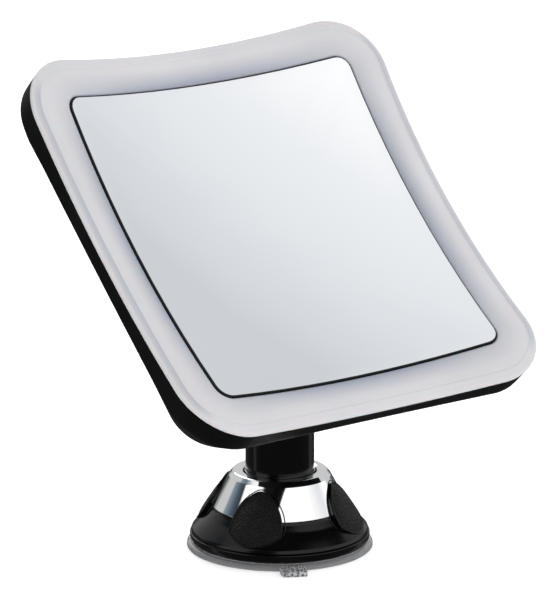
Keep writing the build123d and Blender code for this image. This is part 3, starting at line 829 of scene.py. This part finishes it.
def make_door():
    """Battery lid with rounded edges and a thumb patch of ridges."""
    half_x = DOOR_WIDTH / 2
    half_y = DOOR_HEIGHT / 2

    def ring(inset, w, radius):
        return box_ring(half_x - inset, half_y - inset, radius, w)

    loops = [
        ring(0.3, -BOX_DEPTH + BOX_WALL, 1.8),
        ring(0.0, -BOX_DEPTH + BOX_WALL - 0.2, 2.0),
        ring(0.0, -BOX_DEPTH + 0.4, 2.0),
        ring(0.12, -BOX_DEPTH + 0.12, 2.0),
        ring(0.4, -BOX_DEPTH, 1.8),
        ring(1.2, -BOX_DEPTH, 1.5),
    ]
    points, faces = skin(loops, cap_start=True, cap_end=True)
    door = piece(
        "battery_lid", points, faces, "battery_lid", [BLACK_SATIN], ["battery_door"]
    )
    ridge_count = 5
    for k in range(ridge_count):
        y = BOX_CENTRE + half_y - 6 - 2.2 * k
        half = 9 - 0.7 * k
        cross = [(1.0, 0.0), (0.75, 0.28), (0.35, 0.45), (0.05, 0.5)]
        loops = []
        for spread, lift in cross:
            loop = rectangle_loop(0, y, half * (0.9 + 0.1 * spread), 0.7 * spread, 0.69 * spread)
            loops.append(flat(loop, -BOX_DEPTH - lift + 0.02))
        points, faces = skin(loops, cap_start=True, cap_end=True)
        piece(f"lid_ridge_{k + 1}", points, faces, "battery_lid", [BLACK_SATIN])
    return door


def make_switch():
    """Slide switch: recessed frame on the back with the slot for its ribbed slider; the slider itself
    is not made here.
    """
    def frame_ring(inset, w):
        loop = rectangle_loop(SWITCH_X, BOX_CENTRE, 5.2 - inset, 8.4 - inset, 1.4, 6)
        return flat(loop, w)

    def slot_ring(w):
        return flat(rectangle_loop(SWITCH_X, BOX_CENTRE, 2.5, 4.7, 0.8, 6), w)

    loops = [
        frame_ring(0, -BACK_DEPTH + 0.2),
        frame_ring(0, -BACK_DEPTH - 0.35),
        frame_ring(0.25, -BACK_DEPTH - 0.6),
        frame_ring(0.9, -BACK_DEPTH - 0.62),
        slot_ring(-BACK_DEPTH - 0.35),
        slot_ring(-BACK_DEPTH + 0.2),
    ]
    points, faces = skin(loops, closed=True)
    piece("switch_frame", points, faces, "head", [BLACK_SATIN])


# ---- Base -----------------------------------------------------------------------------------
def make_disc():
    """Clear soft disc with a rolled edge and its knurled release tab."""
    lathe(
        "clear_disc",
        [
            (0.5, 0.0),
            (DISC_RADIUS - 0.3, 0.0, 0.3),
            (DISC_RADIUS, 0.45, 0.3),
            (DISC_RADIUS, 1.5, 0.5),
            (DISC_RADIUS - 0.9, 2.2, 0.3),
            (DISC_RADIUS - 1.6, 1.9, 0.3),
            (DISC_RADIUS - 2.4, DISC_TOP, 0.3),
            (12.0, DISC_TOP, 0.2),
            (12.0, 1.2, 0.2),
            (0.5, 1.2),
        ],
        "base", [CLEAR], ["suction_disc"],
    )
    turn = radians(TAB_BEARING)
    outwards = round_axis(1, turn, 0)
    along = Vector((cos(turn), sin(turn), 0))
    half = TAB_WIDTH / 2
    start = DISC_RADIUS - 1.5

    def at(a, reach, z):
        return along * a + outwards * reach + Vector((0, 0, z))

    columns = 14
    rows = 8
    rounded_rows = 4
    knurl = 0.75
    edge_drop = 0.45
    top_z = 1.75
    under_z = 0.12
    top = []
    for i in range(rows + 1):
        reach = start + (TAB_REACH - start) * i / rows
        line = []
        for j in range(columns + 1):
            a = half * (2 * j / columns - 1)
            shrink = 1.0
            if i > rows - rounded_rows:
                past = (i - rows + rounded_rows) / (rounded_rows + 0.6)
                shrink = sqrt(max(0.0, 1 - past**2)) * 0.25 + 0.75
            inside = 0 < i < rows and 0 < j < columns
            bump = knurl * ((i + j) % 2) if inside else 0
            edge = edge_drop if i == rows or j in (0, columns) else 0
            line.append((a * shrink, reach, top_z + bump - edge))
        top.append(line)
    points = [at(*p) for line in top for p in line]
    below = len(points)
    points += [at(a, reach, under_z) for line in top for a, reach, z in line]
    width = columns + 1
    faces = []
    for i in range(rows):
        for j in range(columns):
            quad = (i * width + j, i * width + j + 1, (i + 1) * width + j + 1, (i + 1) * width + j)
            faces.append(quad)
            faces.append(tuple(below + v for v in quad[::-1]))
    rim = list(range(width))
    rim += [i * width + columns for i in range(1, rows + 1)]
    rim += [rows * width + j for j in range(columns - 1, -1, -1)]
    rim += [i * width for i in range(rows - 1, 0, -1)]
    for k, v in enumerate(rim):
        following = rim[(k + 1) % len(rim)]
        faces.append((v, below + v, below + following, following))
    piece("release_tab", points, faces, "base", [TAB])


def make_foot():
    """Foot ring and the post that carries the knob and the neck."""
    foot = lathe(
        "foot_ring",
        [
            (5.0, 5.9),
            (11.6, 5.9, 0.2),
            (11.6, DISC_TOP),
            (FOOT_RADIUS - 1.9, DISC_TOP, 0.3),
            (FOOT_RADIUS - 0.35, 3.0, 0.9),
            (FOOT_RADIUS, 4.4, 0.8),
            (FOOT_RADIUS, FOOT_TOP, 0.55),
            (FOOT_RADIUS - 3.2, FOOT_TOP, 0.2),
            (FOOT_RADIUS - 3.2, 4.8, 0.2),
            (18.0, 4.8, 1.0),
            (14.5, 8.0, 0.6),
            (POST_RADIUS, 8.0, 0.1),
            (POST_RADIUS, RING_BOTTOM),
            (POST_RADIUS - 0.9, RING_BOTTOM),
            (POST_RADIUS - 0.9, RING_BOTTOM + 1.0),
            (POST_RADIUS, RING_BOTTOM + 1.0),
            (POST_RADIUS, POST_TOP, 0.8),
            (5.0, POST_TOP, 0.3),
        ],
        "base", [BLACK_GLOSS], ["base_foot"],
    )
    slot = []
    slot_steps = 24
    slot_radius = 1.7
    slot_lift = 1.2
    for k in range(slot_steps):
        angle = 2 * pi * k / slot_steps
        lift = slot_lift if sin(angle) > 0 else -slot_lift
        slot.append((slot_radius * cos(angle), slot_radius * sin(angle) + lift))
    centre = Vector((0, 0, PIN_HEIGHT + 1))
    cut(foot, slot, centre, Vector((0, 1, 0)), Vector((0, 0, 1)), POST_RADIUS + 1)


def envelope(z):
    """Outside radius of the skirt and the chrome cone at a height."""
    path = FLARE + [(28.2, CHROME_BOTTOM), (CHROME_FOOT, CHROME_BOTTOM + 0.01)]
    path += [(CHROME_SHOULDER, SHOULDER_HEIGHT)]
    for (r0, z0), (r1, z1) in zip(path, path[1:]):
        if z <= z1:
            return r0 + (r1 - r0) * (z - z0) / (z1 - z0)
    return path[-1][0]


def make_knob():
    """Flared skirt and chrome cone."""
    wall = CHROME_FOOT - CHROME_WALL
    top = CHROME_SHOULDER - CHROME_WALL
    lathe(
        "skirt_shell",
        [
            (37.3, SKIRT_BOTTOM, 0.25),
            (36.85, 8.1, 1.6),
            (34.0, 10.9, 8.0),
            (30.7, 14.0, 9.0),
            (28.6, 16.7, 3.0),
            (28.2, CHROME_BOTTOM, 0.15),
            (wall, CHROME_BOTTOM),
            (top, SHOULDER_HEIGHT),
            (top, PLATE_TOP),
            (10.3, PLATE_TOP),
            (10.3, PLATE_BOTTOM),
            (top - 2.1, PLATE_BOTTOM, 0.5),
            (wall - 2.1, CHROME_BOTTOM - 1.2, 3.0),
            (31.4, 11.0, 3.0),
            (34.9, SKIRT_BOTTOM),
        ],
        "knob", [BLACK_GLOSS], ["knob_skirt"],
    )
    lathe(
        "chrome_cone",
        [
            (CHROME_FOOT, CHROME_BOTTOM, 0.25),
            (CHROME_SHOULDER + 0.1, SHOULDER_HEIGHT - 0.1, 1.2),
            (CHROME_SHOULDER - 1.6, CHROME_TOP - 0.25, 0.9),
            (CHROME_HOLE + 0.8, CHROME_TOP, 0.8),
            (CHROME_HOLE, CHROME_TOP - 0.5, 0.3),
            (CHROME_HOLE, PLATE_TOP),
            (top, PLATE_TOP),
            (top, SHOULDER_HEIGHT),
            (wall, CHROME_BOTTOM),
        ],
        "knob", [CHROME], ["chrome_cap"], segments=256,
    )


def arc(a, b, c, steps):
    """Points along the circle through three points, without the last."""
    ax, ay = a
    bx, by = b
    cx, cy = c
    d = 2 * (ax * (by - cy) + bx * (cy - ay) + cx * (ay - by))
    ux = ((ax * ax + ay * ay) * (by - cy) + (bx * bx + by * by) * (cy - ay)
          + (cx * cx + cy * cy) * (ay - by)) / d
    uy = ((ax * ax + ay * ay) * (cx - bx) + (bx * bx + by * by) * (ax - cx)
          + (cx * cx + cy * cy) * (bx - ax)) / d
    radius = hypot(ax - ux, ay - uy)
    start = atan2(ay - uy, ax - ux)
    middle = atan2(by - uy, bx - ux)
    end = atan2(cy - uy, cx - ux)
    to_middle = (middle - start) % (2 * pi)
    to_end = (end - start) % (2 * pi)
    if to_middle > to_end:
        to_end -= 2 * pi
    return [
        (ux + radius * cos(start + to_end * k / steps), uy + radius * sin(start + to_end * k / steps))
        for k in range(steps)
    ]


def grip_outline():
    """Arch of a grip, as (across, height), anticlockwise from its lower left."""
    shoulder = GRIP_BOTTOM + 4.6
    wide = GRIP_HALF_WIDTH
    loop = arc((-wide, shoulder), (0, GRIP_BOTTOM), (wide, shoulder), 30)
    loop += arc((wide, shoulder), (9.2, 22.4), (3.2, GRIP_TOP - 1.2), 30)
    loop += arc((3.2, GRIP_TOP - 1.2), (0, GRIP_TOP), (-3.2, GRIP_TOP - 1.2), 12)
    loop += arc((-3.2, GRIP_TOP - 1.2), (-9.2, 22.4), (-wide, shoulder), 30)
    for _ in range(3):
        loop = [
            ((p[0] + 2 * q[0] + r[0]) / 4, (p[1] + 2 * q[1] + r[1]) / 4)
            for p, q, r in zip(loop[-1:] + loop[:-1], loop, loop[1:] + loop[:1])
        ]
    return loop


def offset(loop, distance):
    """Move a closed anticlockwise loop outwards along its normals."""
    moved = []
    for p, q, r in zip(loop[-1:] + loop[:-1], loop, loop[1:] + loop[:1]):
        tangent = Vector((r[0] - p[0], r[1] - p[1])).normalized()
        moved.append((q[0] + tangent.y * distance, q[1] - tangent.x * distance))
    return moved


def grip_point(bearing, a, z, lift):
    """Point on a grip's conical outside, lifted along its normal."""
    slope = (GRIP_HIGH[0] - GRIP_LOW[0]) / (GRIP_HIGH[1] - GRIP_LOW[1])
    size = hypot(1, slope)
    radius = GRIP_LOW[0] + slope * (z - GRIP_LOW[1])
    turn = bearing + asin(a / radius)
    return round_axis(radius + lift / size, turn, z - slope * lift / size)


def make_grip(number):
    """One grip: grained crowned pad inside a thin polished rim, in a black seat."""
    bearing = radians(GRIP_BEARING + 90 * number)
    outline = grip_outline()
    middle = (0, 17.3)

    def toward_middle(loop, share):
        return [(x + (middle[0] - x) * share, y + (middle[1] - y) * share) for x, y in loop]

    rim = [(0, -3.2), (0, -0.4), (0.06, -0.05), (0.18, 0.08), (0.32, 0.05), (0.45, -0.10)]
    loops = []
    for inset, lift in rim:
        loops.append([grip_point(bearing, a, z, lift) for a, z in offset(outline, -inset)])
    edge = offset(outline, -0.52)
    pad_steps = 14
    for k in range(pad_steps):
        share = k / pad_steps
        crown = -0.2 + 0.75 * sin(min(1, share * 1.6) * pi / 2)
        loops.append([grip_point(bearing, a, z, crown) for a, z in toward_middle(edge, share)])
    points, faces = skin(loops, cap_start=True)
    count = len(outline)
    centre = len(points)
    points.append(grip_point(bearing, *middle, 0.55))
    last = centre - count
    faces += [(last + i, last + (i + 1) % count, centre) for i in range(count)]
    rim_faces = (len(rim) - 1) * count
    piece(
        f"grip_pad_{number + 1}", points, faces, "knob", [GRIP, BLACK_GLOSS],
        [f"grip_{number + 1}"], lambda index: 1 if index < rim_faces else 0,
    )

    def seat_point(a, z, lift):
        radius = envelope(z) + lift
        return round_axis(radius, bearing + asin(a / radius), z)

    seat = [(0.05, -0.8), (0.05, 0.16), (0.22, 0.2), (0.42, 0.06), (0.45, -0.8)]
    loops = []
    for growth, lift in seat:
        loops.append([seat_point(a, z, lift) for a, z in offset(outline, growth)])
    points, faces = skin(loops, closed=True)
    piece(f"grip_seat_{number + 1}", points, faces, "knob", [BLACK_GLOSS])


# ---- Neck -----------------------------------------------------------------------------------
def make_neck():
    """Polished tube with a bead at its foot, and the slotted socket cap."""
    lathe(
        "neck_shell",
        [
            (POST_RADIUS + 0.04, NECK_BOTTOM, 0.2),
            (NECK_RADIUS + 0.3, NECK_BOTTOM, 0.4),
            (NECK_RADIUS + 0.55, NECK_BOTTOM + 0.9, 0.8),
            (NECK_RADIUS + 0.3, NECK_BOTTOM + 2.0, 0.8),
            (NECK_RADIUS, NECK_BOTTOM + 2.6, 0.5),
            (NECK_RADIUS, CAP_BOTTOM, 0.25),
            (NECK_BORE, CAP_BOTTOM),
            (NECK_BORE, SPRING_FLOOR[1]),
            (8, SPRING_FLOOR[1], 0.3),
            (8, SPRING_FLOOR[0], 0.3),
            (NECK_BORE, SPRING_FLOOR[0]),
            (NECK_BORE, RING_BOTTOM - 0.4),
            (POST_RADIUS + 0.04, RING_BOTTOM - 0.4, 0.2),
        ],
        "neck", [BLACK_GLOSS], ["neck_tube"],
    )
    seat = BALL_RADIUS + 0.03
    steps = 24
    outside = [
        (NECK_RADIUS * cos(pi / 2 * k / steps), BALL_HEIGHT + NECK_RADIUS * sin(pi / 2 * k / steps))
        for k in range(steps)
    ]
    inside = [
        (seat * cos(pi / 2 * k / steps), BALL_HEIGHT + seat * sin(pi / 2 * k / steps))
        for k in range(steps - 1, -1, -1)
    ]
    cap = lathe(
        "socket_dome",
        [(NECK_BORE, CAP_BOTTOM), (NECK_RADIUS, CAP_BOTTOM, 0.25)]
        + outside
        + [(0.4, BALL_HEIGHT + NECK_RADIUS), (0.4, BALL_HEIGHT + seat)]
        + inside
        + [(seat, BALL_HEIGHT - 2), (NECK_BORE, BALL_HEIGHT - 2)],
        "neck", [BLACK_GLOSS], ["socket_cap"], segments=128,
    )
    half = SLOT_HALF_WIDTH
    slot = [(half, 30.0), (-half, 30.0)]
    for k in range(17):
        angle = pi + pi * k / 16
        slot.append((half * cos(angle), half * sin(angle)))
    reach = 20.0
    start = Vector((0, half - reach, BALL_HEIGHT))
    cut(cap, slot, start, Vector((1, 0, 0)), Vector((0, 0, 1)), reach)
    soften(cap, 0.3)


# ---- Camera, light and floor ----------------------------------------------------------------
VIEW_AZIMUTH = radians(-38.66)
VIEW_ELEVATION = 0.3018
VIEW_DISTANCE = 1.8923
VIEW_AIM = Vector((-0.00076, 0.00061, 0.1056))
STAGE_RADIUS = 12


def make_camera():
    data = bpy.data.cameras.new("camera")
    data.lens = 270
    data.sensor_width = 36
    data.clip_end = 100
    camera = bpy.data.objects.new("camera", data)
    bpy.context.scene.collection.objects.link(camera)
    camera.location = VIEW_DISTANCE * Vector(
        (
            sin(VIEW_AZIMUTH) * cos(VIEW_ELEVATION),
            -cos(VIEW_AZIMUTH) * cos(VIEW_ELEVATION),
            sin(VIEW_ELEVATION),
        )
    )
    aim = VIEW_AIM - camera.location
    camera.rotation_euler = aim.to_track_quat("-Z", "Y").to_euler()
    bpy.context.scene.camera = camera


def stage_material(name, colour, glow=0.0):
    material = bpy.data.materials.new(name)
    material.use_nodes = True
    shader = material.node_tree.nodes["Principled BSDF"]
    shader.inputs["Base Color"].default_value = (*colour, 1)
    shader.inputs["Roughness"].default_value = 0.9
    shader.inputs["Emission Color"].default_value = (1, 1, 1, 1)
    shader.inputs["Emission Strength"].default_value = glow
    return material


def make_stage():
    """Pale floor, and a pale dome that only the camera sees."""
    bpy.ops.mesh.primitive_circle_add(vertices=96, radius=STAGE_RADIUS, fill_type="NGON")
    floor = bpy.context.object
    floor.name = "floor"
    floor.location.z = -0.0002
    floor.data.materials.append(stage_material("pale_floor", (0.9, 0.9, 0.9), 0.45))
    floor.visible_glossy = False
    bpy.ops.mesh.primitive_uv_sphere_add(segments=64, ring_count=32, radius=STAGE_RADIUS)
    dome = bpy.context.object
    dome.name = "backdrop"
    dome.data.materials.append(stage_material("pale_backdrop", (0, 0, 0), 1.0))
    dome.visible_glossy = False
    dome.visible_diffuse = False
    dome.visible_transmission = False
    dome.visible_shadow = False


def make_world():
    """Studio surroundings: a broad bright side towards -Y, darker behind and below."""
    world = bpy.data.worlds.new("studio")
    bpy.context.scene.world = world
    world.use_nodes = True
    tree = world.node_tree
    background = tree.nodes["Background"]
    where = tree.nodes.new("ShaderNodeTexCoord")
    split = tree.nodes.new("ShaderNodeSeparateXYZ")
    tree.links.new(where.outputs["Generated"], split.inputs["Vector"])

    def ramp(source, stops):
        node = tree.nodes.new("ShaderNodeValToRGB")
        tree.links.new(source, node.inputs["Fac"])
        elements = node.color_ramp.elements
        while len(elements) > 1:
            elements.remove(elements[-1])
        elements[0].position = stops[0][0]
        elements[0].color = (*stops[0][1], 1)
        for position, colour in stops[1:]:
            element = elements.new(position)
            element.color = (*colour, 1)
        return node.outputs["Color"]

    def math(operation, first, second):
        node = tree.nodes.new("ShaderNodeMath")
        node.operation = operation
        for socket, value in zip(node.inputs, (first, second)):
            if isinstance(value, (int, float)):
                socket.default_value = value
            else:
                tree.links.new(value, socket)
        return node.outputs["Value"]

    def blend(share, first, second):
        node = tree.nodes.new("ShaderNodeMix")
        node.data_type = "RGBA"
        tree.links.new(share, node.inputs["Factor"])
        tree.links.new(first, node.inputs[6])
        tree.links.new(second, node.inputs[7])
        return node.outputs[2]

    # the part of the room that the glass reflects: brighter towards -Y and -X
    leftward = math("MULTIPLY_ADD", split.outputs["X"], -0.833)
    leftward.node.inputs[2].default_value = 0.5625
    glow = math("MULTIPLY_ADD", split.outputs["Y"], -0.958)
    tree.links.new(leftward, glow.node.inputs[2])
    sky = ramp(
        glow,
        [
            (0.0, (0.64, 0.66, 0.69)),
            (0.10, (0.70, 0.72, 0.75)),
            (0.38, (0.825, 0.84, 0.865)),
            (0.60, (0.90, 0.91, 0.93)),
            (0.85, (1.07, 1.06, 1.06)),
            (1.0, (1.12, 1.11, 1.11)),
        ],
    )
    bearing = math("ARCTAN2", split.outputs["X"], math("MULTIPLY", split.outputs["Y"], -1))
    around = math("MULTIPLY_ADD", bearing, 1 / (2 * pi))
    around.node.inputs[2].default_value = 0.5

    def at(relative):
        """Place on the ramp of a bearing relative to the camera's, in degrees."""
        return ((relative - 38.7 + 180) % 360) / 360

    dark = (0.03, 0.035, 0.04)
    blue = (0.08, 0.11, 0.15)
    white = (1.25, 1.25, 1.25)
    grey = (0.62, 0.63, 0.62)
    stops = [
        (at(-141), grey),
        (at(-116), grey),
        (at(-113), (0.26, 0.32, 0.36)),
        (at(-98), blue),
        (at(-87), dark),
        (at(-83), white),
        (at(-44), white),
        (at(-38), dark),
        (at(-6), dark),
        (at(-2), white),
        (at(118), white),
        (at(124), grey),
        (at(200), grey),
    ]
    horizon = ramp(around, sorted(stops))
    high = (0.66, 0.66, 0.66)
    low = (0.30, 0.30, 0.30)
    edges = [
        (at(-141), high),
        (at(62), high),
        (at(70), low),
        (at(140), low),
        (at(150), high),
    ]
    edge = ramp(around, sorted(edges))
    above = math("SUBTRACT", split.outputs["Z"], edge)
    share = math("MULTIPLY", above, 10.0)
    share.node.use_clamp = True
    upper = blend(share, horizon, sky)
    under = (0.09, 0.09, 0.094)
    ground = ramp(
        around,
        sorted(
            [
                (at(-100), under),
                (at(-92), (0.9, 0.9, 0.9)),
                (at(-84), under),
                (at(112), under),
                (at(124), (0.5, 0.5, 0.5)),
                (at(136), under),
            ]
        ),
    )
    rising = math("MULTIPLY_ADD", split.outputs["Z"], 8.0)
    rising.node.inputs[2].default_value = 0.2
    rising.node.use_clamp = True
    result = blend(rising, ground, upper)
    tree.links.new(result, background.inputs["Color"])
    background.inputs["Strength"].default_value = 1.0


def make_lights():
    """Broad soft key from the upper right, soft fill from the left, one light for the back."""
    # name, place in metres, side in metres, watts, seen in reflections
    for name, place, size, power, glossy in (
        ("key_softbox", (1.4, -1.2, 1.7), 1.1, 11, False),
        ("fill_softbox", (-1.7, -0.9, 1.3), 1.2, 4, False),
        ("rear_softbox", (0.9, 1.9, 1.6), 1.3, 20, True),
    ):
        data = bpy.data.lights.new(name, "AREA")
        data.shape = "SQUARE"
        data.size = size
        data.energy = power
        light = bpy.data.objects.new(name, data)
        bpy.context.scene.collection.objects.link(light)
        light.location = place
        aim = Vector((0, 0, 0.1)) - light.location
        light.rotation_euler = aim.to_track_quat("-Z", "Y").to_euler()
        light.visible_glossy = glossy


def main():
    make_camera()
    make_stage()
    make_world()
    make_lights()
    dress_cad_nodes()
    make_glass()
    make_gasket()
    make_light_frame()
    make_housing()
    make_battery_box()
    make_door()
    make_switch()
    make_disc()
    make_foot()
    make_knob()
    for number in range(4):
        make_grip(number)
    make_neck()
    bpy.context.scene.view_settings.view_transform = "Standard"


main()
